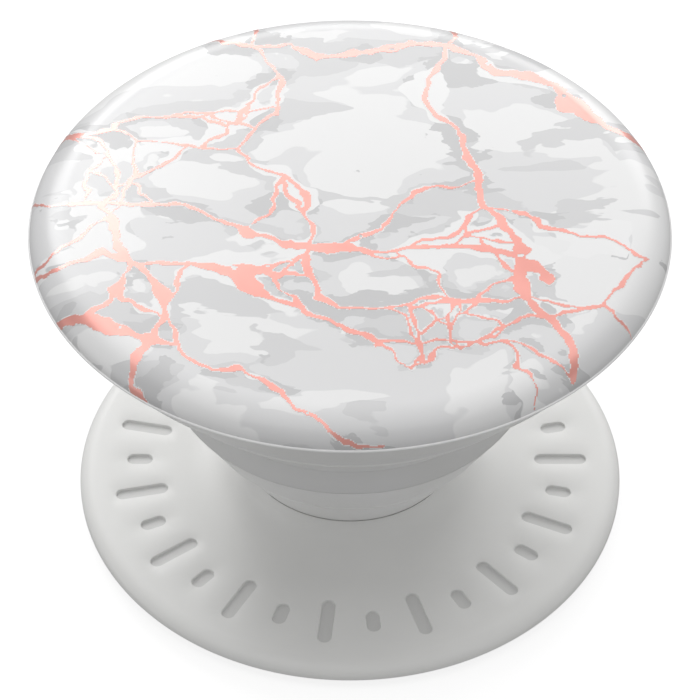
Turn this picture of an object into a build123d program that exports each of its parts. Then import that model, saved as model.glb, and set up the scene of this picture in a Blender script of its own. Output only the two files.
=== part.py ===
from build123d import *

# Collapsible phone grip: a round cap on a two-stage folding neck that turns in a flared platform.
# It stands on its adhesive pad with +Z up, popped fully out. Lengths are in millimetres.
# The neck is one soft moulding. It is split at its living hinges, so that the rings that keep
# their shape can slide and the thin walls between them can fold.

import math
import os

# Overall
CAP_RADIUS = 19.9
CAP_TOP = 25.15  # crown of the cap above the phone
PLATFORM_RADIUS = 18.35
PAD_RADIUS = 17.4
FIT = 0.05  # clearance between pieces that turn or press together

# Adhesive pad, from the phone up
PAD_LAYERS = {"pad_gel": 0.25, "pad_foam": 0.4, "pad_bond_film": 0.15}
PAD_TOP = sum(PAD_LAYERS.values())

# Platform
PLATFORM_TOP = 1.8
PLATFORM_EDGE_TOP = 1.15  # where the rolled edge starts
PLATFORM_ROLL = 1.1
PLATFORM_CHAMFER = 0.15
COLLAR_RADIUS = 7.5
FLARE_RADIUS = 11.0  # where the flare has run out into the flat
COVER_RADIUS = 16.6
COVER_HEIGHT = 0.45

# Sunk tick marks round the platform, long and short by turns
TICK_COUNT = 30
TICK_WIDTH = 1.0
TICK_DEPTH = 0.2
TICK_CIRCLE = 14.3
LONG_TICK = 3.6
SHORT_TICK = 1.8

# Neck: outside (radius, height) of each fold line, popped out
FOOT_TOP = (7.2, 3.55)
LOWER_CREASE = (9.8, 7.7)
MIDDLE_FOOT = (11.95, 11.35)
MIDDLE_TOP = (12.1, 13.5)
UPPER_CREASE = (15.3, 17.5)
HEAD_FOOT = (17.15, 20.75)
WALL = 0.5  # across a folding wall, level
RING_WALL = 0.9  # across a ring that keeps its shape
CREASE_HALF_HEIGHT = 0.22
CREASE_BULGE = 0.05
HEAD_BELLY = 0.2  # the head widens by this up to the socket plate
HEAD_CHAMFER = 0.1  # and draws in by this at its top
FOOT_BORE = 6.2
FOOT_FLANGE_RADIUS = 8.5
FOOT_FLANGE_HEIGHT = 0.5

# Cap, from the outside in
PARTING_HEIGHT = 23.4  # where the decorated skin ends on the rim
ROLL_START = (17.4, 24.9)  # where the crown turns into the rolled edge
CLEAR_COAT = 0.1
PRINT = 0.15
SHELL_UNDERSIDE = 24.05
SHELL_RIM = 0.8
BACKPLATE = 0.45
RIM_STEP = 0.05  # the backplate's rim stands this far inside the skin
LIP = (18.0, 20.65)
SKIRT = 0.5

# Twist lock between the cap and the neck
SOCKET_RADIUS = 13.5
SOCKET_UNDERSIDE = 22.95
SOCKET_HEIGHT = 0.55
SLOT_CLEARANCE = 0.25
KEY_LENGTH = 11.6
KEY_WIDTH = 6.2
KEY_FLANGE = 0.6
CLICK_CIRCLE = 9.0  # radius of the circle that the click bumps travel on
CLICK_BALL = 0.5
CLICK_BITE = 0.03  # how far a bump reaches into the plate
DIMPLE_DEPTH = 0.25
QUARTER_TURN = 90


def turned(*outline):
    """Solid of revolution about Z from straight runs through (radius, height) points."""
    return revolve(Plane.XZ * make_face(Polyline(*outline, close=True)), Axis.Z)


def turned_curve(*edges):
    """Solid of revolution about Z from a closed chain of edges drawn in (radius, height)."""
    return revolve(Plane.XZ * make_face(Curve() + list(edges)), Axis.Z)


def disc(radius, foot, height):
    return Pos(0, 0, foot) * extrude(Circle(radius), height)


def stadium(length, width, height):
    return extrude(SlotOverall(length, width), height)


def on_line(foot, top, height):
    """Point at a height on the straight line from foot to top."""
    share = (height - foot[1]) / (top[1] - foot[1])
    return (foot[0] + share * (top[0] - foot[0]), height)


def cone_wall(foot, top, thickness):
    """Conical wall with level ends, whose outside runs from foot to top."""
    return turned(foot, top, (top[0] - thickness, top[1]), (foot[0] - thickness, foot[1]))


def adhesive_pad():
    """Reusable gel on the phone's side, foam, and the film that bonds it to the platform."""
    layers = {}
    foot = 0
    for name, height in PAD_LAYERS.items():
        layers[name] = disc(PAD_RADIUS, foot, height)
        foot += height
    return layers


def base_cover():
    """Thin disc pressed into the underside. It closes the bore and traps the foot's flange."""
    return disc(COVER_RADIUS, PAD_TOP, COVER_HEIGHT)


def platform_blank():
    """Disc with a rolled edge, a flared collar and a stepped bore for the neck's foot."""
    bore = FOOT_TOP[0] + FIT
    seat = FOOT_FLANGE_RADIUS + FIT
    cover_top = PAD_TOP + COVER_HEIGHT
    seat_top = cover_top + FOOT_FLANGE_HEIGHT + FIT
    flat_end = PLATFORM_RADIUS - PLATFORM_ROLL
    flare = EllipticalCenterArc(
        (FLARE_RADIUS, FOOT_TOP[1]),
        FLARE_RADIUS - COLLAR_RADIUS,
        FOOT_TOP[1] - PLATFORM_TOP,
        start_angle=180,
        arc_size=90,
    )
    rolled_edge = EllipticalCenterArc(
        (flat_end, PLATFORM_EDGE_TOP),
        PLATFORM_ROLL,
        PLATFORM_TOP - PLATFORM_EDGE_TOP,
        start_angle=0,
        arc_size=90,
    )
    underside = Polyline(
        (PLATFORM_RADIUS, PLATFORM_EDGE_TOP),
        (PLATFORM_RADIUS, PAD_TOP + PLATFORM_CHAMFER),
        (PLATFORM_RADIUS - PLATFORM_CHAMFER, PAD_TOP),
        (COVER_RADIUS, PAD_TOP),
        (COVER_RADIUS, cover_top),
        (seat, cover_top),
        (seat, seat_top),
        (bore, seat_top),
        (bore, FOOT_TOP[1]),
        (COLLAR_RADIUS, FOOT_TOP[1]),
    )
    flat = Line((FLARE_RADIUS, PLATFORM_TOP), (flat_end, PLATFORM_TOP))
    return turned_curve(flare, flat, rolled_edge, underside)


def platform_disc():
    """The platform with its ring of sunk tick marks."""
    platform = platform_blank()
    for number in range(TICK_COUNT):
        length = SHORT_TICK if number % 2 else LONG_TICK
        place = Rot(0, 0, number * 360 / TICK_COUNT) * Pos(TICK_CIRCLE, 0, PLATFORM_TOP - TICK_DEPTH)
        platform -= place * stadium(length, TICK_WIDTH, 2 * TICK_DEPTH)
    return platform


def foot_ring():
    """Hard ring at the neck's lower end. Its flange turns in the platform's stepped bore."""
    floor = PAD_TOP + COVER_HEIGHT + FIT / 2
    flange_top = floor + FOOT_FLANGE_HEIGHT
    return turned(
        (FOOT_BORE, floor),
        (FOOT_FLANGE_RADIUS, floor),
        (FOOT_FLANGE_RADIUS, flange_top),
        (FOOT_TOP[0], flange_top),
        FOOT_TOP,
        (FOOT_BORE, FOOT_TOP[1]),
    )


def crease_ends(below, crease, above):
    """Lower and upper outside edge of the thick band at a crease."""
    low = on_line(below, crease, crease[1] - CREASE_HALF_HEIGHT)
    high = on_line(crease, above, crease[1] + CREASE_HALF_HEIGHT)
    return low, high


def crease_ring(low, crease, high):
    """Thick band at a fold line, a little proud of both walls."""
    return turned(
        low,
        (crease[0] + CREASE_BULGE, crease[1]),
        high,
        (high[0] - WALL, high[1]),
        (crease[0] - RING_WALL, crease[1]),
        (low[0] - WALL, low[1]),
    )


def folding_neck():
    """The soft moulding's walls and rings, from the foot up to the head."""
    lower_low, lower_high = crease_ends(FOOT_TOP, LOWER_CREASE, MIDDLE_FOOT)
    upper_low, upper_high = crease_ends(MIDDLE_TOP, UPPER_CREASE, HEAD_FOOT)
    return {
        "lower_inner_wall": cone_wall(FOOT_TOP, lower_low, WALL),
        "lower_crease_ring": crease_ring(lower_low, LOWER_CREASE, lower_high),
        "lower_outer_wall": cone_wall(lower_high, MIDDLE_FOOT, WALL),
        "middle_ring": cone_wall(MIDDLE_FOOT, MIDDLE_TOP, RING_WALL),
        "upper_inner_wall": cone_wall(MIDDLE_TOP, upper_low, WALL),
        "upper_crease_ring": crease_ring(upper_low, UPPER_CREASE, upper_high),
        "upper_outer_wall": cone_wall(upper_high, HEAD_FOOT, WALL),
        "head_flange": head_flange(),
    }


def head_flange():
    """Thick upper end of the neck: a ring above the last wall and a web round the socket plate."""
    top = SOCKET_UNDERSIDE + SOCKET_HEIGHT
    inside = HEAD_FOOT[0] - RING_WALL
    return turned(
        (inside, HEAD_FOOT[1]),
        HEAD_FOOT,
        (HEAD_FOOT[0] + HEAD_BELLY, SOCKET_UNDERSIDE),
        (HEAD_FOOT[0] - HEAD_CHAMFER, top),
        (SOCKET_RADIUS, top),
        (SOCKET_RADIUS, SOCKET_UNDERSIDE),
        (inside, SOCKET_UNDERSIDE),
    )


def socket_plate():
    """Hard plate in the neck's head, with the key's slot and four dimples for the click bumps."""
    plate = disc(SOCKET_RADIUS, 0, SOCKET_HEIGHT)
    plate -= stadium(KEY_LENGTH + 2 * SLOT_CLEARANCE, KEY_WIDTH + 2 * SLOT_CLEARANCE, SOCKET_HEIGHT)
    ball_height = SOCKET_HEIGHT + CLICK_BALL - DIMPLE_DEPTH
    for angle in range(0, 360, QUARTER_TURN):
        plate -= Rot(0, 0, angle) * Pos(CLICK_CIRCLE, 0, ball_height) * Sphere(CLICK_BALL)
    return Pos(0, 0, SOCKET_UNDERSIDE) * plate


def twist_key():
    """Key on the cap: a round post through the slot and a long flange below the plate.

    At rest the flange lies across the slot and locks the cap. A quarter turn lines them up.
    """
    flange_top = SOCKET_UNDERSIDE - FIT
    flange = Pos(0, 0, flange_top - KEY_FLANGE) * stadium(KEY_LENGTH, KEY_WIDTH, KEY_FLANGE)
    post = disc(KEY_WIDTH / 2, flange_top, SHELL_UNDERSIDE - BACKPLATE - flange_top)
    return Rot(0, 0, QUARTER_TURN) * (flange + post)


def cap_backplate():
    """Lower shell of the cap: a plate with two click bumps and a skirt that slopes in to a lip."""
    underside = SHELL_UNDERSIDE - BACKPLATE
    step = CAP_RADIUS - SHELL_RIM - CLEAR_COAT - PRINT
    plate = turned(
        (0, underside),
        (step - SKIRT, underside),
        (LIP[0] - SKIRT, LIP[1]),
        LIP,
        (CAP_RADIUS - RIM_STEP, PARTING_HEIGHT),
        (step, PARTING_HEIGHT),
        (step, SHELL_UNDERSIDE),
        (0, SHELL_UNDERSIDE),
    )
    ball_height = SOCKET_UNDERSIDE + SOCKET_HEIGHT - CLICK_BITE + CLICK_BALL
    below_plate = Pos(0, 0, underside) * Cylinder(
        CAP_RADIUS, CLICK_BALL, align=(Align.CENTER, Align.CENTER, Align.MAX)
    )
    for side in (-1, 1):
        plate += Pos(side * CLICK_CIRCLE, 0, ball_height) * Sphere(CLICK_BALL) & below_plate
    return plate


def crown_and_roll(depth):
    """Edges of the cap's outside from the axis to the parting line, set in by depth."""
    reach, shoulder = ROLL_START[0], ROLL_START[1] - depth
    rise = CAP_TOP - ROLL_START[1]
    sphere = (reach**2 + rise**2) / (2 * rise)
    sweep = math.degrees(math.asin(reach / sphere))
    crown = CenterArc((0, CAP_TOP - depth - sphere), sphere, start_angle=90 - sweep, arc_size=sweep)
    roll = EllipticalCenterArc(
        (reach, PARTING_HEIGHT),
        CAP_RADIUS - depth - reach,
        shoulder - PARTING_HEIGHT,
        start_angle=0,
        arc_size=90,
    )
    return crown, roll


def cap_shell():
    """Hard disc that carries the print. Its rim stands on the backplate's step."""
    depth = CLEAR_COAT + PRINT
    inner_rim = CAP_RADIUS - SHELL_RIM - depth
    underside = Polyline(
        (CAP_RADIUS - depth, PARTING_HEIGHT),
        (inner_rim, PARTING_HEIGHT),
        (inner_rim, SHELL_UNDERSIDE),
        (0, SHELL_UNDERSIDE),
        (0, CAP_TOP - depth),
    )
    return turned_curve(*crown_and_roll(depth), underside)


def skin(outer_depth, inner_depth):
    """Layer that wraps the crown and the rolled edge down to the parting line."""
    middle = Line((0, CAP_TOP - outer_depth), (0, CAP_TOP - inner_depth))
    edge = Line((CAP_RADIUS - outer_depth, PARTING_HEIGHT), (CAP_RADIUS - inner_depth, PARTING_HEIGHT))
    return turned_curve(*crown_and_roll(outer_depth), *crown_and_roll(inner_depth), middle, edge)


def build():
    pieces = {
        **adhesive_pad(),
        "base_cover": base_cover(),
        "platform_disc": platform_disc(),
        "foot_ring": foot_ring(),
        **folding_neck(),
        "socket_plate": socket_plate(),
        "twist_key": twist_key(),
        "cap_backplate": cap_backplate(),
        "cap_shell": cap_shell(),
        "printed_film": skin(CLEAR_COAT, CLEAR_COAT + PRINT),
        "clear_coat": skin(0, CLEAR_COAT),
    }
    os.makedirs("parts", exist_ok=True)
    for name, piece in pieces.items():
        export_step(piece, f"parts/{name}.step")


build()
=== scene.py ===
import math

import bpy
import numpy as np
from mathutils import Matrix, Vector


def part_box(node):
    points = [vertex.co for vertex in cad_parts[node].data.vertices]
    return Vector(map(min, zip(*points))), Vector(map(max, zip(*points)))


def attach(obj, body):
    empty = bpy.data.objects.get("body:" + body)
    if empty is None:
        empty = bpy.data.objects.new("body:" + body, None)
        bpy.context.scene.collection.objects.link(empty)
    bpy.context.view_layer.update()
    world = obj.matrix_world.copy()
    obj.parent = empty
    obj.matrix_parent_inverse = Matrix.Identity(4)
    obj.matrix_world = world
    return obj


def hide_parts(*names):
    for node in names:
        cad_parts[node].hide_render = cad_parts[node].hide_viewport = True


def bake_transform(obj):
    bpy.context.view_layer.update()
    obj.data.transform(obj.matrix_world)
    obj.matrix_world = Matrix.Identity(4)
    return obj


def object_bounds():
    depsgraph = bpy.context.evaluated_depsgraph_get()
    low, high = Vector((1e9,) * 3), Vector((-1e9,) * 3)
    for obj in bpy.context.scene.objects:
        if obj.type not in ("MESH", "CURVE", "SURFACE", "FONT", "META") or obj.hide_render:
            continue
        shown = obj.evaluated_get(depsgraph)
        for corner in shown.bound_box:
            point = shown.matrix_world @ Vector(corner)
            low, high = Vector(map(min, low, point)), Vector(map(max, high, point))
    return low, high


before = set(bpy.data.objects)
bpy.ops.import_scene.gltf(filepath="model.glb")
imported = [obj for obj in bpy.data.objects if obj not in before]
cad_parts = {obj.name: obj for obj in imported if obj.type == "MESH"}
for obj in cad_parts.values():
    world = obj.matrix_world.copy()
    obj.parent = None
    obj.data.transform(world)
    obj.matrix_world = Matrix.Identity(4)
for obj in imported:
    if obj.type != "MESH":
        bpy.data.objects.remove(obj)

cad_low, cad_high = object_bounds()
MM = 0.001


# Adhesive pad. Three discs bonded in a stack: a tacky washable gel on the phone's side, a thin
# closed-cell foam that follows a slightly curved back, and a film that bonds to the platform.
# The stack is die-cut in one stroke, so the layers share one edge, pinched a little at each face.

def arc(centre, radii, start, end, steps):
    """Points of an elliptical arc in (radius, height), from start to end in degrees."""
    angles = np.radians(np.linspace(start, end, steps + 1))
    return [(centre[0] + radii[0] * math.cos(a), centre[1] + radii[1] * math.sin(a)) for a in angles]


def turned(name, outline, steps=192, sweep=math.tau):
    """Spins an outline of (radius, height) points about Z. The outline is drawn by extruding a point."""
    bpy.ops.object.select_all(action="DESELECT")
    bpy.ops.mesh.primitive_plane_add(size=1, location=(0, 0, 0))
    piece = bpy.context.object
    piece.name = name
    bpy.ops.object.mode_set(mode="EDIT")
    bpy.ops.mesh.select_mode(type="VERT")
    bpy.ops.mesh.merge(type="CENTER")
    bpy.ops.transform.translate(value=(outline[0][0], 0, outline[0][1]))
    for before, after in zip(outline, outline[1:]):
        step = (after[0] - before[0], 0, after[1] - before[1])
        bpy.ops.mesh.extrude_vertices_move(TRANSFORM_OT_translate={"value": step})
    bpy.ops.mesh.select_all(action="SELECT")
    bpy.ops.mesh.spin(steps=steps, angle=sweep, center=(0, 0, 0), axis=(0, 0, 1))
    bpy.ops.object.mode_set(mode="OBJECT")
    weld(piece)
    return piece


def weld(piece, reach=1e-6):
    """Merges the doubles of a mesh and points its faces outwards."""
    bpy.ops.object.select_all(action="DESELECT")
    piece.select_set(True)
    bpy.context.view_layer.objects.active = piece
    bpy.ops.object.mode_set(mode="EDIT")
    bpy.ops.mesh.select_all(action="SELECT")
    bpy.ops.mesh.remove_doubles(threshold=reach)
    bpy.ops.mesh.normals_make_consistent(inside=False)
    bpy.ops.object.mode_set(mode="OBJECT")


def smooth(piece, degrees=35):
    bpy.ops.object.select_all(action="DESELECT")
    piece.select_set(True)
    bpy.context.view_layer.objects.active = piece
    bpy.ops.object.shade_smooth_by_angle(angle=math.radians(degrees))


def finished(piece, material, body, *nodes):
    """Gives a piece its material and body, and lets it stand for CAD nodes."""
    piece.data.materials.clear()
    piece.data.materials.append(material)
    if body:
        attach(piece, body)
    if nodes:
        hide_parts(*nodes)


def new_material(name):
    """Material with an empty Principled shader. Returns the material, its nodes, links and shader."""
    material = bpy.data.materials.new(name)
    material.use_nodes = True
    tree = material.node_tree
    return material, tree.nodes, tree.links, tree.nodes["Principled BSDF"]


def recoloured(node_name, material):
    """Gives a CAD node that keeps its own mesh a better material."""
    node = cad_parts[node_name]
    node.data.materials.clear()
    node.data.materials.append(material)


def grain_group():
    """Fine surface texture of a moulding: a little height, and roughness that wanders with it."""
    group = bpy.data.node_groups.new("moulded_grain", "ShaderNodeTree")
    face = group.interface
    for label, value in (("Grain per metre", 4000.0), ("Low roughness", 0.4), ("High roughness", 0.5)):
        face.new_socket(label, in_out="INPUT", socket_type="NodeSocketFloat").default_value = value
    face.new_socket("Roughness", in_out="OUTPUT", socket_type="NodeSocketFloat")
    face.new_socket("Height", in_out="OUTPUT", socket_type="NodeSocketFloat")
    face.new_socket("Cloud", in_out="OUTPUT", socket_type="NodeSocketFloat")
    nodes, links = group.nodes, group.links
    inputs = nodes.new("NodeGroupInput")
    outputs = nodes.new("NodeGroupOutput")
    place = nodes.new("ShaderNodeTexCoord")
    fine = nodes.new("ShaderNodeTexNoise")
    fine.inputs["Detail"].default_value = 3
    cloud = nodes.new("ShaderNodeTexNoise")
    cloud.inputs["Scale"].default_value = 140
    cloud.inputs["Detail"].default_value = 4
    blend = nodes.new("ShaderNodeMath")
    blend.operation = "MULTIPLY_ADD"
    blend.inputs[1].default_value = 0.35
    spread = nodes.new("ShaderNodeMapRange")
    spread.inputs["From Min"].default_value = 0.35
    spread.inputs["From Max"].default_value = 0.95
    for texture in (fine, cloud):
        links.new(place.outputs["Object"], texture.inputs["Vector"])
    links.new(inputs.outputs["Grain per metre"], fine.inputs["Scale"])
    links.new(fine.outputs["Fac"], blend.inputs[0])
    links.new(cloud.outputs["Fac"], blend.inputs[2])
    links.new(blend.outputs[0], spread.inputs["Value"])
    links.new(inputs.outputs["Low roughness"], spread.inputs["To Min"])
    links.new(inputs.outputs["High roughness"], spread.inputs["To Max"])
    links.new(spread.outputs[0], outputs.inputs["Roughness"])
    links.new(fine.outputs["Fac"], outputs.inputs["Height"])
    links.new(cloud.outputs["Fac"], outputs.inputs["Cloud"])
    return group


moulded_grain = grain_group()


def moulded_material(name, dark, light, roughness, grain=4000, relief=0.004, soft=0.0):
    """Plastic or rubber whose colour drifts between two close tones over a fine moulded grain."""
    material, nodes, links, shader = new_material(name)
    grained = nodes.new("ShaderNodeGroup")
    grained.node_tree = moulded_grain
    grained.inputs["Grain per metre"].default_value = grain
    grained.inputs["Low roughness"].default_value = roughness[0]
    grained.inputs["High roughness"].default_value = roughness[1]
    tone = nodes.new("ShaderNodeValToRGB")
    tone.color_ramp.elements[0].position = 0.3
    tone.color_ramp.elements[0].color = (*dark, 1)
    tone.color_ramp.elements[1].position = 0.7
    tone.color_ramp.elements[1].color = (*light, 1)
    bump = nodes.new("ShaderNodeBump")
    bump.inputs["Strength"].default_value = 0.6
    bump.inputs["Distance"].default_value = relief * MM
    links.new(grained.outputs["Cloud"], tone.inputs["Fac"])
    links.new(tone.outputs["Color"], shader.inputs["Base Color"])
    links.new(grained.outputs["Roughness"], shader.inputs["Roughness"])
    links.new(grained.outputs["Height"], bump.inputs["Height"])
    links.new(bump.outputs["Normal"], shader.inputs["Normal"])
    shader.inputs["Subsurface Weight"].default_value = soft
    shader.inputs["Subsurface Radius"].default_value = (1.0, 1.0, 1.0)
    shader.inputs["Subsurface Scale"].default_value = 0.8 * MM
    return material


def pad_layer(node_name, pinch, material):
    """One die-cut disc, its edge drawn in by pinch at both faces."""
    low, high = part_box(node_name)
    edge, thickness = high.x, high.z - low.z
    outline = [(0, low.z), (edge - pinch, low.z)]
    outline += arc((edge - pinch, low.z + thickness / 2), (pinch, thickness / 2), -70, 70, 6)
    outline += [(edge - pinch, high.z), (0, high.z)]
    layer = turned(f"{node_name}_disc", outline)
    smooth(layer)
    finished(layer, material, "platform", node_name)
    return layer


gel_dark, gel_light = (0.50, 0.50, 0.48), (0.58, 0.58, 0.56)
gel = moulded_material("washable_gel", gel_dark, gel_light, (0.18, 0.3), 900, 0.01, 0.3)
foam_dark, foam_light = (0.030, 0.030, 0.031), (0.045, 0.045, 0.046)
foam = moulded_material("closed_cell_foam", foam_dark, foam_light, (0.8, 0.95), 7000, 0.03)
bond_film = moulded_material("bond_film", (0.66, 0.66, 0.64), (0.72, 0.72, 0.70), (0.3, 0.45), 2500, 0.003)
pad_layer("pad_gel", 0.06 * MM, gel)
pad_layer("pad_foam", 0.10 * MM, foam)
pad_layer("pad_bond_film", 0.03 * MM, bond_film)


# Platform. One hard moulding in warm light grey: a thin disc with a rolled edge, which sweeps up
# in a concave flare to a collar round the neck. A ring of tick marks is sunk in its face, each
# with a softened lip, as a polished mould leaves it. A thin cover closes the underside.

platform_low, platform_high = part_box("platform_disc")
cover_low, cover_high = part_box("base_cover")
foot_low, foot_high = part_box("foot_ring")
platform_edge = platform_high.x
face_height = 1.8 * MM
roll_width = 1.1 * MM
roll_start_height = 1.15 * MM
underside_round = 0.2 * MM
collar_radius = 7.5 * MM
collar_lip = 0.06 * MM
flare_radius = 11.0 * MM
bore_radius = 7.215 * MM
seat_radius = foot_high.x + 0.05 * MM
seat_top = 1.8 * MM
tick_band = (12.0 * MM, 16.6 * MM)
turn_steps = 240
tick_count = 30
tick_circle = 14.3 * MM
tick_width = 1.0 * MM
tick_depth = 0.2 * MM
# Each step of a tick's lip, from the face to its floor: how far in, and how far down, in millimetres.
tick_lip = (
    (0.02, 0.006), (0.02, 0.020), (0.01, 0.05), (0.01, 0.06), (0.01, 0.04), (0.02, 0.016), (0.04, 0.006),
)


def sector_outline(steps):
    """Corner-to-corner points round one tick's share of the face, counter-clockwise."""
    half = math.pi / tick_count
    across = np.linspace(-half, half, steps + 1)[:-1]
    radii = np.linspace(*tick_band, steps + 1)
    inner, outer = tick_band
    points = [(r * math.cos(-half), r * math.sin(-half)) for r in radii[:-1]]
    points += [(outer * math.cos(a), outer * math.sin(a)) for a in across]
    points += [(r * math.cos(half), r * math.sin(half)) for r in radii[:0:-1]]
    points += [(inner * math.cos(-a), inner * math.sin(-a)) for a in across]
    return points


def tick_tile(name, length):
    """One tick's share of the face: a rounded slot inset step by step, with flat face filled in round it."""
    border = sector_outline(8)
    bpy.ops.object.select_all(action="DESELECT")
    half_side = math.pi / len(border)
    bpy.ops.mesh.primitive_circle_add(
        vertices=len(border), radius=tick_width / 2, location=(0, 0, 0), rotation=(0, 0, half_side)
    )
    tile = bpy.context.object
    tile.name = name
    bpy.ops.object.transform_apply(location=False, rotation=True, scale=False)
    bpy.ops.object.mode_set(mode="EDIT")
    bpy.ops.mesh.edge_face_add()
    bpy.ops.object.mode_set(mode="OBJECT")
    for point in tile.data.vertices:
        point.co.x += tick_circle + math.copysign((length - tick_width) / 2, point.co.x)
        point.co.z = face_height
    bpy.ops.object.mode_set(mode="EDIT")
    bpy.ops.mesh.select_mode(type="FACE")
    bpy.ops.mesh.select_all(action="SELECT")
    for inward, down in tick_lip:
        bpy.ops.mesh.inset(thickness=inward * MM, depth=-down * MM)
    bpy.ops.mesh.select_all(action="DESELECT")
    bpy.ops.mesh.select_mode(type="VERT")
    bpy.ops.mesh.primitive_circle_add(vertices=len(border), radius=MM, location=(0, 0, 0))
    bpy.ops.object.mode_set(mode="OBJECT")
    added = [point for point in tile.data.vertices if point.select]
    for point, (x, y) in zip(added, border):
        point.co = (x, y, face_height)
    tile.data.update()
    for edge in tile.data.edges:
        edge.select = all(abs(tile.data.vertices[end].co.z - face_height) < 1e-7 for end in edge.vertices)
    bpy.ops.object.mode_set(mode="EDIT")
    bpy.ops.mesh.select_mode(type="EDGE")
    bpy.ops.mesh.fill()
    bpy.ops.object.mode_set(mode="OBJECT")
    return tile


def ring_of(tiles, count):
    """Copies the tiles in turn round Z and returns all the copies."""
    copies = []
    for number in range(count):
        copy = tiles[number % len(tiles)].copy()
        copy.data = copy.data.copy()
        copy.data.transform(Matrix.Rotation(number * math.tau / count, 4, "Z"))
        bpy.context.collection.objects.link(copy)
        copies.append(copy)
    for tile in tiles:
        bpy.data.objects.remove(tile)
    return copies


def joined(pieces, name):
    bpy.ops.object.select_all(action="DESELECT")
    for piece in pieces:
        piece.select_set(True)
    bpy.context.view_layer.objects.active = pieces[0]
    bpy.ops.object.join()
    pieces[0].name = name
    return pieces[0]


flare_size = (flare_radius - collar_radius, platform_high.z - face_height)
flare = arc((flare_radius, platform_high.z), flare_size, 270, 192, 18)
collar_centre = (bore_radius + collar_lip, platform_high.z - collar_lip)
collar_top = arc(collar_centre, (collar_lip, collar_lip), 90, 180, 5)
inner_outline = [(tick_band[0], face_height), *flare, *collar_top]
inner_outline += [(bore_radius, seat_top), (seat_radius, seat_top), (seat_radius, cover_high.z)]
inner_outline += [(cover_high.x, cover_high.z), (cover_high.x, platform_low.z)]
flat_end = platform_edge - roll_width
underside_centre = (platform_edge - underside_round, platform_low.z + underside_round)
underside_roll = arc(underside_centre, (underside_round, underside_round), 270, 360, 5)
edge_roll = arc((flat_end, roll_start_height), (roll_width, face_height - roll_start_height), 0, 90, 14)
outer_outline = [(cover_high.x, platform_low.z), *underside_roll, *edge_roll, (tick_band[1], face_height)]

long_tick, short_tick = 3.6 * MM, 1.8 * MM
platform_parts = ring_of([tick_tile("long_tick", long_tick), tick_tile("short_tick", short_tick)], tick_count)
platform_parts.append(turned("platform_flare", inner_outline, turn_steps))
platform_parts.append(turned("platform_rim", outer_outline, turn_steps))
platform = joined(platform_parts, "platform_moulding")
weld(platform, 2e-6)
smooth(platform, 40)

places = np.array([point.co for point in platform.data.vertices])
reach = np.hypot(places[:, 0], places[:, 1])
depth = (face_height - places[:, 2]) / tick_depth
in_band = (reach > tick_band[0]) & (reach < tick_band[1]) & (depth < 1.2)
sunk = np.where(in_band, depth, 0).astype(np.float32)
platform.data.attributes.new("sunk", "FLOAT", "POINT").data.foreach_set("value", sunk)

# The tick floors are painted darker than the face, as shade would make them.
face_dark, face_light = (0.85, 0.85, 0.835), (0.88, 0.88, 0.865)
light_grey = moulded_material("light_grey_plastic", face_dark, face_light, (0.36, 0.46), 5200, 0.003, 0.1)
nodes, links = light_grey.node_tree.nodes, light_grey.node_tree.links
shader = nodes["Principled BSDF"]
sunk_face = nodes.new("ShaderNodeAttribute")
sunk_face.attribute_name = "sunk"
tick_floor_shade = nodes.new("ShaderNodeMix")
tick_floor_shade.data_type = "RGBA"
tick_floor_shade.inputs["B"].default_value = (0.72, 0.72, 0.71, 1)
links.new(sunk_face.outputs["Fac"], tick_floor_shade.inputs["Factor"])
links.new(shader.inputs["Base Color"].links[0].from_socket, tick_floor_shade.inputs["A"])
links.new(tick_floor_shade.outputs["Result"], shader.inputs["Base Color"])
finished(platform, light_grey, "platform", "platform_disc")
cover_dark, cover_light = (0.50, 0.50, 0.49), (0.56, 0.56, 0.55)
cover_grey = moulded_material("cover_plastic", cover_dark, cover_light, (0.45, 0.6), 3200, 0.006)
recoloured("base_cover", cover_grey)


# Neck. One soft elastomer moulding, shown as its hard foot, rings that keep their shape, and the
# thin walls between them that fold. Each crease stands a little proud, where the mould's parting
# lines meet. The foot and the socket plate are hard inserts that the elastomer is moulded over.


def neck_tone(name, level):
    """The neck's elastomer at one grey. The levels are painted shading: the real neck has one colour."""
    dark, light = (level, level, 0.985 * level), (level + 0.04,) * 3
    return moulded_material(name, dark, light, (0.38, 0.5), 3600, 0.004, 0.15)


upper_grey = neck_tone("neck_upper_elastomer", 0.78)
crease_grey = neck_tone("neck_crease_elastomer", 0.90)
middle_grey = neck_tone("neck_middle_elastomer", 0.74)
lower_grey = neck_tone("neck_lower_elastomer", 0.87)
insert_dark, insert_light = (0.58, 0.58, 0.57), (0.62, 0.62, 0.61)
insert_grey = moulded_material("insert_plastic", insert_dark, insert_light, (0.4, 0.5), 4200, 0.004)
recoloured("foot_ring", insert_grey)
recoloured("socket_plate", insert_grey)

wall = 0.5 * MM
ring_wall = 0.9 * MM
crease_bulge = 0.05 * MM
fold_slices = 48
slice_steps = 3


def box_edge(node_name):
    """Outer radius, foot and top of a round CAD node."""
    low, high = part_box(node_name)
    return high.x, low.z, high.z


def level_wall(foot, top, thickness, stations):
    """Closed outline of a conical wall with level ends, with stations along both faces."""
    share = np.linspace(0, 1, stations + 1)
    outside = [(foot[0] + s * (top[0] - foot[0]), foot[1] + s * (top[1] - foot[1])) for s in share]
    inside = [(r - thickness, z) for r, z in reversed(outside)]
    return [*outside, *inside, outside[0]]


def folding_wall(node_name, foot, top, material, thickness=wall):
    """Thin wall, spun as one narrow slice that is copied round Z; the slices are then merged into one wall."""
    sweep = math.tau / fold_slices
    outline = level_wall(foot, top, thickness, 16)
    pattern = turned(f"{node_name}_slice", outline, slice_steps, sweep)
    slices = ring_of([pattern], fold_slices)
    for number, piece in enumerate(slices):
        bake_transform(piece)
    whole = joined(slices, f"{node_name}_skin")
    weld(whole)
    smooth(whole)
    finished(whole, material, None, node_name)
    return whole


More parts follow.
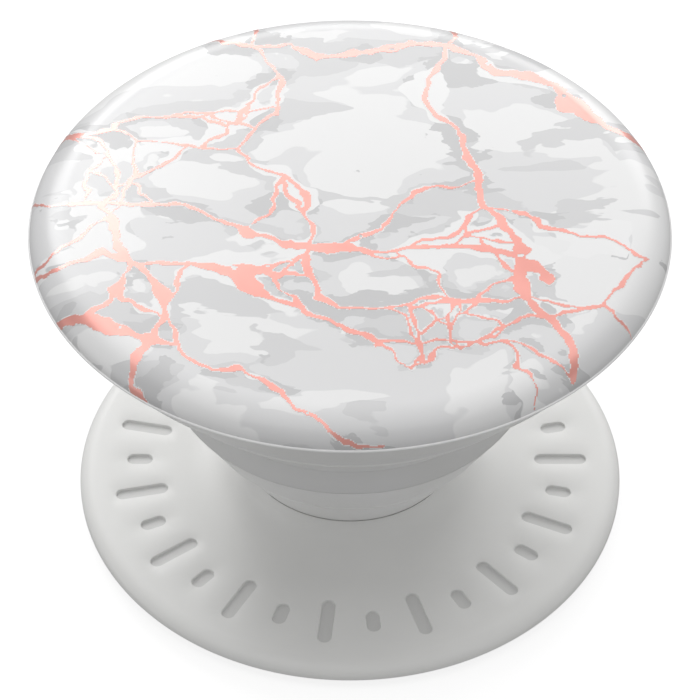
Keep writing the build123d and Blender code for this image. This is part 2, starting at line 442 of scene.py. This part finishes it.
foot_top = (7.2 * MM, foot_high.z)
middle_radius, middle_foot_height, middle_top_height = box_edge("middle_ring")
lower_radius, lower_low, lower_high = box_edge("lower_crease_ring")
upper_radius, upper_low, upper_high = box_edge("upper_crease_ring")
head_foot = (box_edge("upper_outer_wall")[0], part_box("head_flange")[0].z)
middle_top = (middle_radius, middle_top_height)
middle_foot = (box_edge("lower_outer_wall")[0], middle_foot_height)
lower_crease = (lower_radius - crease_bulge, (lower_low + lower_high) / 2)
upper_crease = (upper_radius - crease_bulge, (upper_low + upper_high) / 2)


def between(foot, top, height):
    share = (height - foot[1]) / (top[1] - foot[1])
    return (foot[0] + share * (top[0] - foot[0]), height)


lower_start = between(foot_top, lower_crease, lower_low)
lower_end = between(lower_crease, middle_foot, lower_high)
upper_start = between(middle_top, upper_crease, upper_low)
upper_end = between(upper_crease, head_foot, upper_high)


def crease_band(node_name, low, crease, high, body):
    """Thick band at a fold line, with a rounded bead along the crease."""
    bead = crease_bulge
    outside = [low, between(low, crease, crease[1] - bead), (crease[0] + 0.7 * bead, crease[1] - 0.5 * bead)]
    outside += [(crease[0] + bead, crease[1]), (crease[0] + 0.7 * bead, crease[1] + 0.5 * bead)]
    outside += [between(crease, high, crease[1] + bead), high]
    inside = [(high[0] - wall, high[1]), (crease[0] - ring_wall, crease[1]), (low[0] - wall, low[1]), low]
    band = turned(f"{node_name}_band", [*outside, *inside], fold_slices * slice_steps)
    smooth(band, 25)
    finished(band, crease_grey, body, node_name)


folding_wall("lower_inner_wall", foot_top, lower_start, lower_grey)
crease_band("lower_crease_ring", lower_start, lower_crease, lower_end, "lower_crease")
# The lower outer wall is drawn thinner and lower than its CAD node. At full thickness it cuts into
# the platform, the socket plate and the backplate when it is folded.
thin_wall = 0.3 * MM
thin_trim = 0.02 * MM
thin_top = (middle_foot[0], middle_foot[1] - thin_trim)
folding_wall("lower_outer_wall", lower_end, thin_top, lower_grey, thin_wall)
middle_outline = level_wall(middle_foot, middle_top, ring_wall, 3)
middle_ring = turned("middle_ring_band", middle_outline, fold_slices * slice_steps)
smooth(middle_ring, 25)
finished(middle_ring, middle_grey, "neck_middle", "middle_ring")
folding_wall("upper_inner_wall", middle_top, upper_start, upper_grey)
crease_band("upper_crease_ring", upper_start, upper_crease, upper_end, "upper_crease")
folding_wall("upper_outer_wall", upper_end, head_foot, upper_grey)

plate_low, plate_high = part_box("socket_plate")
head_inside = head_foot[0] - ring_wall
head_belly = 0.2 * MM
head_round = 0.3 * MM
head_round_centre = (head_foot[0] - 0.1 * MM, plate_low.z + 0.25 * MM)
head_outline = [(head_inside, head_foot[1]), head_foot, (head_foot[0] + head_belly, plate_low.z)]
head_outline += arc(head_round_centre, (head_round, head_round), 0, 90, 6)
head_outline += [(plate_high.x, plate_high.z), (plate_high.x, plate_low.z)]
head_outline += [(head_inside, plate_low.z), (head_inside, head_foot[1])]
head = turned("head_flange_ring", head_outline, fold_slices * slice_steps)
smooth(head, 25)
finished(head, upper_grey, "neck_head", "head_flange")


# Cap underside. A hard backplate in the platform's grey closes the cap from below. Its skirt
# slopes in from the rim to a rounded lip that hides the neck's head. The twist key is moulded
# in the same plastic and welded under it, and the shell that carries the print is snapped on.

backplate_low, backplate_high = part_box("cap_backplate")
shell_low, shell_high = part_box("cap_shell")
lip_radius = 18.0 * MM
skirt = 0.5 * MM
parting = shell_low.z
plate_thickness = 0.45 * MM
plate_bevel = 0.06 * MM
plate_step = backplate_high.x - 1.0 * MM
plate_underside = backplate_high.z - plate_thickness
lip_centre = (lip_radius - skirt / 2, backplate_low.z + skirt / 2)
lip_round = arc(lip_centre, (skirt / 2, skirt / 2), 180, 325, 10)
backplate_outline = [(0, plate_underside), (plate_step - skirt, plate_underside), *lip_round]
bevel_radius = backplate_high.x - plate_bevel
backplate_outline += [(bevel_radius, parting - plate_bevel), (bevel_radius, parting)]
backplate_outline += [(plate_step, parting), (plate_step, backplate_high.z), (0, backplate_high.z)]
backplate = turned("cap_backplate_moulding", backplate_outline)
smooth(backplate, 30)
cap_dark, cap_light = (0.77, 0.77, 0.76), (0.81, 0.81, 0.80)
cap_grey = moulded_material("cap_plastic", cap_dark, cap_light, (0.34, 0.44), 5200, 0.003, 0.1)
finished(backplate, cap_grey, "cap", "cap_backplate")
recoloured("twist_key", cap_grey)
shell_dark, shell_light = (0.68, 0.68, 0.67), (0.72, 0.72, 0.71)
shell_white = moulded_material("shell_plastic", shell_dark, shell_light, (0.35, 0.45), 4800, 0.003)
recoloured("cap_shell", shell_white)


# Cap skin. A printed film is drawn over the crown and the rolled edge, down to the parting line,
# and sealed with a clear coat. The print is pale stone: flat washes of cool grey, one over another,
# that gather along the foil veins and leave light islands between them.

skin_low, skin_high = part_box("clear_coat")
cap_edge = skin_high.x
bead = 0.09 * MM
crown_height = skin_high.z
roll_radius = 17.4 * MM
shoulder_height = 24.9 * MM
roll_size = (cap_edge - 0.07 * MM - roll_radius, shoulder_height - parting)
roll_angles = np.linspace(math.pi / 2, 0, 61)
roll_radii = roll_radius + roll_size[0] * np.cos(roll_angles)
roll_heights = parting + roll_size[1] * np.sin(roll_angles)
roll_points = np.stack([roll_radii, roll_heights], 1)
roll_reach = np.concatenate([[0], np.cumsum(np.linalg.norm(np.diff(roll_points, axis=0), axis=1))])


def on_cap(x, y, lift=0.0):
    """Drapes flat points (x, y) over the crown and rolled edge, at the same distance from the middle."""
    reach = np.hypot(x, y)
    over = np.clip(reach - roll_radius, 0, roll_reach[-1])
    crown = crown_height - (crown_height - shoulder_height) * (reach / roll_radius) ** 2
    radius = np.where(over > 0, np.interp(over, roll_reach, roll_points[:, 0]), reach)
    height = np.where(over > 0, np.interp(over, roll_reach, roll_points[:, 1]), crown)
    lean = np.interp(over, roll_reach, math.pi / 2 - roll_angles)
    radius = radius + lift * np.sin(lean)
    height = height + lift * np.cos(lean)
    away = np.where(reach > 0, radius / np.maximum(reach, 1e-9), 1)
    return x * away, y * away, height


# Main cracks of the stone on the flattened cap: start, end and the half width at each, in millimetres.
main_cracks = [
    ((-10, 17.5), (19.5, 6), (0.20, 0.36)),
    ((7, 19), (13, -15), (0.22, 0.26)),
    ((-20.5, 1), (12, -7), (0.14, 0.24)),
    ((-20, -6), (18, -5), (0.20, 0.08)),
    ((-7, 20), (-2, -9), (0.17, 0.16)),
    ((-18, -10), (2, -20), (0.24, 0.09)),
    ((-19, 8), (-12, -17), (0.10, 0.22)),
    ((-2, -9), (20, -12), (0.17, 0.06)),
    ((-20, 6), (-5, 9), (0.18, 0.07)),
]
# Places where the cracks open into broader patches: middle, reach and how much wider they get.
patches = [
    ((13, 9), 3.6, 1.8), ((14, 0), 3.2, 1.2), ((10, -6), 2.5, 0.8),
    ((-14, -9), 3.6, 2.0), ((-5, -6), 3.2, 1.4), ((2, 17), 3.0, 1.2),
]
branch_count = 56
crack_draws = np.random.default_rng(31)


def crack(start, end, half_widths, sway=0.17, rounds=4):
    """Route of a crack: the straight run, bent at its middles again and again."""
    route = [np.array(start, float), np.array(end, float)]
    for _ in range(rounds):
        bent = [route[0]]
        for before, after in zip(route, route[1:]):
            run = after - before
            aside = crack_draws.uniform(-sway, sway) * np.array((-run[1], run[0]))
            bent += [(before + after) / 2 + aside, after]
        route = bent
    widths = np.linspace(*half_widths, len(route)) * crack_draws.uniform(0.15, 0.95, len(route))
    return [(*point, width) for point, width in zip(route, widths)]


def branch(network):
    """Thin crack that leaves another at an angle and ends at the next one it meets, or fades out."""
    vein = network[crack_draws.integers(len(network))]
    spot = crack_draws.integers(1, len(vein) - 1)
    ahead = np.subtract(vein[spot + 1][:2], vein[spot - 1][:2])
    heading = math.atan2(ahead[1], ahead[0]) + crack_draws.choice((-1, 1)) * crack_draws.uniform(0.6, 1.4)
    start = np.array(vein[spot][:2])
    others = np.array([point[:2] for other in network if other is not vein for point in other])
    away = others - start
    distance = np.hypot(away[:, 0], away[:, 1])
    turn = np.abs((np.arctan2(away[:, 1], away[:, 0]) - heading + math.pi) % math.tau - math.pi)
    met = (turn < 0.5) & (distance > 2.5) & (distance < 12)
    length, width = crack_draws.uniform(3, 8), crack_draws.uniform(0.05, 0.13)
    if met.any():
        return crack(start, others[met][np.argmin(distance[met])], (width, 0.7 * width), 0.14, 3)
    end = start + length * np.array((math.cos(heading), math.sin(heading)))
    return crack(start, end, (width, 0.01), 0.14, 3)


veins = [crack(*main) for main in main_cracks]
for _ in range(branch_count):
    veins.append(branch(veins))


def lattice_noise(x, y, cell, seed):
    """Smooth seeded noise from -1 to 1, with one random value at each corner of a square cell."""
    values = np.random.default_rng(seed).uniform(-1, 1, (256, 256))
    across, along = x / cell + 100, y / cell + 100
    left, low = np.floor(across).astype(int), np.floor(along).astype(int)
    u, v = across - left, along - low
    u, v = u * u * (3 - 2 * u), v * v * (3 - 2 * v)
    bottom = values[left, low] * (1 - u) + values[left + 1, low] * u
    top = values[left, low + 1] * (1 - u) + values[left + 1, low + 1] * u
    return bottom * (1 - v) + top * v


def vein_height(x, y):
    """How far inside a vein each flat point lies, in millimetres, negative outside. Edges are ragged."""
    wander_x = x + 0.28 * lattice_noise(x, y, 1.3, 1) + 0.10 * lattice_noise(x, y, 0.45, 2)
    wander_y = y + 0.28 * lattice_noise(x, y, 1.3, 3) + 0.10 * lattice_noise(x, y, 0.45, 4)
    swell = 1 + 0.55 * lattice_noise(x, y, 0.9, 5) + 0.30 * lattice_noise(x, y, 0.35, 6)
    for (patch_x, patch_y), reach, wider in patches:
        swell *= 1 + wider * np.exp(-((x - patch_x) ** 2 + (y - patch_y) ** 2) / reach**2)
    height = np.full(x.shape, -9.0)
    for vein in veins:
        for (x0, y0, w0), (x1, y1, w1) in zip(vein, vein[1:]):
            run = (x1 - x0, y1 - y0)
            along = ((wander_x - x0) * run[0] + (wander_y - y0) * run[1]) / (run[0] ** 2 + run[1] ** 2)
            along = np.clip(along, 0, 1)
            away = np.hypot(wander_x - x0 - along * run[0], wander_y - y0 - along * run[1])
            width = (w0 + along * (w1 - w0)) * np.maximum(swell, 0.15)
            height = np.maximum(height, width - away)
    holes = lattice_noise(x, y, 0.7, 7) + 0.4 * lattice_noise(x, y, 0.3, 8)
    return np.where(height > 0.05, np.minimum(height, 0.9 - holes), height)


crown_drop = crown_height - shoulder_height
crown_radii = np.linspace(0, roll_radius, 46)
skin_outline = [(r, crown_height - crown_drop * (r / roll_radius) ** 2) for r in crown_radii]
skin_outline += arc((roll_radius, parting), roll_size, 90, 7, 26)[1:]
skin_outline += arc((cap_edge - bead, parting + bead), (bead, bead), 75, -80, 8)
skin_outline += [(cap_edge - 0.22 * MM, parting)]
film = 0.25 * MM
skin_outline += arc((roll_radius, parting), (roll_size[0] - film, roll_size[1] - film), 0, 90, 12)
skin_outline += [(0, crown_height - film)]
skin = turned("cap_skin", skin_outline, 240)
smooth(skin, 40)

points = np.array([point.co for point in skin.data.vertices])
flat_reach = np.hypot(points[:, 0], points[:, 1])
on_roll = flat_reach > roll_radius
turned_by = np.interp(parting - points[:, 2], -roll_points[:, 1], roll_reach)
unrolled = np.where(on_roll, roll_radius + turned_by, flat_reach) / np.maximum(flat_reach, 1e-9)
flat_x, flat_y = points[:, 0] * unrolled / MM, points[:, 1] * unrolled / MM
nearness = np.exp(np.minimum(vein_height(flat_x, flat_y), 0) / 1.1)
skin.data.attributes.new("near_vein", "FLOAT", "POINT").data.foreach_set("value", nearness.astype(np.float32))


def wash(nodes, links, place, scale, stretch, detail, cut, seed):
    """Mask of one flat wash of grey with a crisp, slightly feathered edge."""
    mapping = nodes.new("ShaderNodeMapping")
    mapping.inputs["Scale"].default_value = (1, stretch, 1)
    mapping.inputs["Location"].default_value = (seed, seed * 0.37, 0)
    noise = nodes.new("ShaderNodeTexNoise")
    noise.inputs["Scale"].default_value = scale
    noise.inputs["Detail"].default_value = detail
    noise.inputs["Distortion"].default_value = 0.35
    near = nodes.new("ShaderNodeAttribute")
    near.attribute_name = "near_vein"
    pull = nodes.new("ShaderNodeMath")
    pull.operation = "MULTIPLY_ADD"
    pull.inputs[1].default_value = 0.20
    edge = nodes.new("ShaderNodeMapRange")
    edge.interpolation_type = "SMOOTHSTEP"
    edge.inputs["From Min"].default_value = cut
    edge.inputs["From Max"].default_value = cut + 0.012
    links.new(place.outputs["Object"], mapping.inputs["Vector"])
    links.new(mapping.outputs["Vector"], noise.inputs["Vector"])
    links.new(near.outputs["Fac"], pull.inputs[0])
    links.new(noise.outputs["Fac"], pull.inputs[2])
    links.new(pull.outputs[0], edge.inputs["Value"])
    return edge.outputs[0]


def stone_print():
    """Pale stone print: washes laid over a near-white ground, under a satin clear coat."""
    material, nodes, links, shader = new_material("stone_print")
    place = nodes.new("ShaderNodeTexCoord")
    colour = None
    layers = [
        ((0.81, 0.81, 0.81), (0.71, 0.71, 0.715), 95, 1.9, 3.0, 0.52, 0.013),
        (None, (0.635, 0.635, 0.64), 150, 2.1, 3.5, 0.62, 0.051),
        (None, (0.56, 0.56, 0.565), 230, 1.8, 4.0, 0.69, 0.087),
        (None, (0.83, 0.83, 0.83), 120, 1.7, 3.0, 0.71, 0.119),
    ]
    for ground, tint, scale, stretch, detail, cut, seed in layers:
        mask = wash(nodes, links, place, scale, stretch, detail, cut, seed)
        mix = nodes.new("ShaderNodeMix")
        mix.data_type = "RGBA"
        mix.inputs["B"].default_value = (*tint, 1)
        if colour is None:
            mix.inputs["A"].default_value = (*ground, 1)
        else:
            links.new(colour, mix.inputs["A"])
        links.new(mask, mix.inputs["Factor"])
        colour = mix.outputs["Result"]
    # Painted highlight: the bead at the foot of the rolled edge is painted near-white, standing for light
    # caught along the cap's lower edge.
    height = nodes.new("ShaderNodeSeparateXYZ")
    rim_highlight_mask = nodes.new("ShaderNodeMapRange")
    rim_highlight_mask.inputs["From Min"].default_value = parting + 2 * bead + 0.02 * MM
    rim_highlight_mask.inputs["From Max"].default_value = parting + 2 * bead - 0.01 * MM
    rim = nodes.new("ShaderNodeMix")
    rim.data_type = "RGBA"
    rim.inputs["B"].default_value = (0.93, 0.93, 0.93, 1)
    links.new(place.outputs["Object"], height.inputs[0])
    links.new(height.outputs["Z"], rim_highlight_mask.inputs["Value"])
    links.new(rim_highlight_mask.outputs[0], rim.inputs["Factor"])
    links.new(colour, rim.inputs["A"])
    links.new(rim.outputs["Result"], shader.inputs["Base Color"])
    grained = nodes.new("ShaderNodeGroup")
    grained.node_tree = moulded_grain
    grained.inputs["Grain per metre"].default_value = 3000
    grained.inputs["Low roughness"].default_value = 0.32
    grained.inputs["High roughness"].default_value = 0.38
    links.new(grained.outputs["Roughness"], shader.inputs["Roughness"])
    shader.inputs["Coat Weight"].default_value = 0.35
    shader.inputs["Coat Roughness"].default_value = 0.22
    return material


finished(skin, stone_print(), "cap", "printed_film", "clear_coat")


# Foil veins. Rose-gold foil is stamped over the print. It is cut here from a fine relief of the
# vein network, as a stamping die is: whatever stands above the die's level becomes foil. A pale
# sheet, a little wider than the foil, lies under it and shows as a thin outline round each vein:
# a painted highlight, standing for light caught along the foil's pressed edge.

relief_cell = 0.08
relief_side = 41.6
foil_margin = 0.24
sheet_thickness = 0.03


def stamped(name, level, lift, thickness):
    """Sheet of everything higher than level in the vein relief, draped over the cap."""
    cells = round(relief_side / relief_cell)
    bpy.ops.object.select_all(action="DESELECT")
    side = relief_side * MM
    bpy.ops.mesh.primitive_grid_add(x_subdivisions=cells, y_subdivisions=cells, size=side, location=(0, 0, 0))
    sheet = bpy.context.object
    sheet.name = name
    flat = np.empty(len(sheet.data.vertices) * 3, np.float32)
    sheet.data.vertices.foreach_get("co", flat)
    flat = flat.reshape(-1, 3).astype(float)
    x, y = flat[:, 0] / MM, flat[:, 1] / MM
    edge_reach = (roll_radius + roll_reach[-1]) / MM - foil_margin
    inside = edge_reach - np.hypot(x, y)
    flat[:, 2] = np.minimum(vein_height(x, y) - level(x, y), inside) * MM
    sheet.data.vertices.foreach_set("co", flat.ravel())
    bpy.ops.object.mode_set(mode="EDIT")
    bpy.ops.mesh.select_all(action="SELECT")
    bpy.ops.mesh.bisect(plane_co=(0, 0, 0), plane_no=(0, 0, 1), clear_inner=True)
    bpy.ops.mesh.select_all(action="SELECT")
    bpy.ops.mesh.remove_doubles(threshold=2e-6)
    bpy.ops.object.mode_set(mode="OBJECT")
    cut = np.array([point.co for point in sheet.data.vertices])
    draped = np.stack(on_cap(cut[:, 0], cut[:, 1], lift * MM), 1)
    sheet.data.vertices.foreach_set("co", draped.astype(np.float32).ravel())
    sheet.data.update()
    solid = sheet.modifiers.new("thickness", "SOLIDIFY")
    solid.thickness = thickness * MM
    solid.offset = -1
    bpy.ops.object.modifier_apply(modifier=solid.name)
    smooth(sheet, 40)
    return sheet


def foil_material():
    """Rose-gold foil under a clear coat: half metal, half pink, with drifting tone and roughness."""
    material, nodes, links, shader = new_material("rose_gold_foil")
    grained = nodes.new("ShaderNodeGroup")
    grained.node_tree = moulded_grain
    grained.inputs["Grain per metre"].default_value = 2600
    grained.inputs["Low roughness"].default_value = 0.26
    grained.inputs["High roughness"].default_value = 0.40
    tone = nodes.new("ShaderNodeValToRGB")
    tone.color_ramp.elements[0].position = 0.3
    tone.color_ramp.elements[0].color = (0.84, 0.345, 0.295, 1)
    tone.color_ramp.elements[1].position = 0.7
    tone.color_ramp.elements[1].color = (0.92, 0.42, 0.365, 1)
    links.new(grained.outputs["Cloud"], tone.inputs["Fac"])
    links.new(tone.outputs["Color"], shader.inputs["Base Color"])
    links.new(grained.outputs["Roughness"], shader.inputs["Roughness"])
    shader.inputs["Metallic"].default_value = 0.45
    shader.inputs["Coat Weight"].default_value = 1.0
    shader.inputs["Coat Roughness"].default_value = 0.12
    return material


# The outline sheet is painted pale: a painted highlight along the foil's pressed edge.
edge_highlight_dark, edge_highlight_light = (0.79, 0.79, 0.79), (0.83, 0.83, 0.83)
painted_edge_highlight = moulded_material("painted_edge_highlight", edge_highlight_dark, edge_highlight_light, (0.3, 0.36), 3000, 0.001)


def outline_level(x, y):
    """Level of the pale edge sheet, which is a little below the foil's, so that the sheet is wider."""
    return -0.04 - 0.03 * lattice_noise(x, y, 1.1, 9)


def foil_level(x, y):
    return 0 * x


outline = stamped("vein_outline", outline_level, 0.005, sheet_thickness)
finished(outline, painted_edge_highlight, "cap")
foil = stamped("foil_veins", foil_level, 0.012, sheet_thickness)
finished(foil, foil_material(), "cap")


# Studio. The grip stands on a plain white table under a large soft overhead panel, with two panels
# behind it for the gloss and a weak one at each side. The table glows and the room looks whiter to
# the camera than it lights the grip. The camera looks down at it from the front.

bpy.ops.object.select_all(action="DESELECT")
bpy.ops.mesh.primitive_plane_add(size=4, location=(0, 0, cad_low.z))
floor = bpy.context.object
floor.name = "studio_floor"
floor_material, floor_nodes, floor_links, floor_shader = new_material("studio_table")
floor_shader.inputs["Base Color"].default_value = (0.35, 0.35, 0.35, 1)
floor_shader.inputs["Roughness"].default_value = 0.9
floor_shader.inputs["Emission Color"].default_value = (1, 1, 1, 1)
floor_shader.inputs["Emission Strength"].default_value = 0.78
floor.data.materials.append(floor_material)
floor.visible_diffuse = False
floor.visible_glossy = False

world = bpy.data.worlds.new("studio_room")
bpy.context.scene.world = world
world.use_nodes = True
room = world.node_tree.nodes["Background"]
room.inputs["Color"].default_value = (1, 1, 1, 1)
room.inputs["Strength"].default_value = 0.39
backdrop = world.node_tree.nodes.new("ShaderNodeBackground")
backdrop.inputs["Color"].default_value = (1, 1, 1, 1)
ray = world.node_tree.nodes.new("ShaderNodeLightPath")
seen = world.node_tree.nodes.new("ShaderNodeMixShader")
world.node_tree.links.new(ray.outputs["Is Camera Ray"], seen.inputs["Fac"])
world.node_tree.links.new(room.outputs[0], seen.inputs[1])
world.node_tree.links.new(backdrop.outputs[0], seen.inputs[2])
world.node_tree.links.new(seen.outputs[0], world.node_tree.nodes["World Output"].inputs["Surface"])


def panel(name, size, place, aim, power):
    light = bpy.data.lights.new(name, "AREA")
    light.shape = "RECTANGLE"
    light.size, light.size_y = size
    light.energy = power
    lamp = bpy.data.objects.new(name, light)
    lamp.location = place
    lamp.rotation_euler = (Vector(aim) - Vector(place)).to_track_quat("-Z", "Y").to_euler()
    bpy.context.collection.objects.link(lamp)


cap_centre = (0, 0, crown_height)
panel("overhead_panel", (0.9, 0.9), (0.0, 0.10, 0.75), cap_centre, 2.62)
panel("back_panel", (0.6, 0.3), (0.08, 0.62, 0.30), cap_centre, 1.6)
panel("back_left_panel", (0.30, 0.22), (-0.25, 0.56, 0.45), cap_centre, 1.1)
panel("left_panel", (0.5, 0.35), (-0.62, -0.12, 0.24), cap_centre, 0.39)
panel("right_panel", (0.5, 0.35), (0.62, -0.12, 0.24), cap_centre, 0.22)

camera_data = bpy.data.cameras.new("studio_camera")
camera_data.lens = 128.57
camera_data.sensor_width = 36
camera_data.clip_start = 0.01
camera = bpy.data.objects.new("studio_camera", camera_data)
camera_tilt = 0.773
camera.location = (0, -0.1167, 0.1260)
camera.rotation_euler = (math.pi / 2 - camera_tilt, 0, 0)
bpy.context.collection.objects.link(camera)
bpy.context.scene.camera = camera
bpy.context.scene.view_settings.view_transform = "Standard"
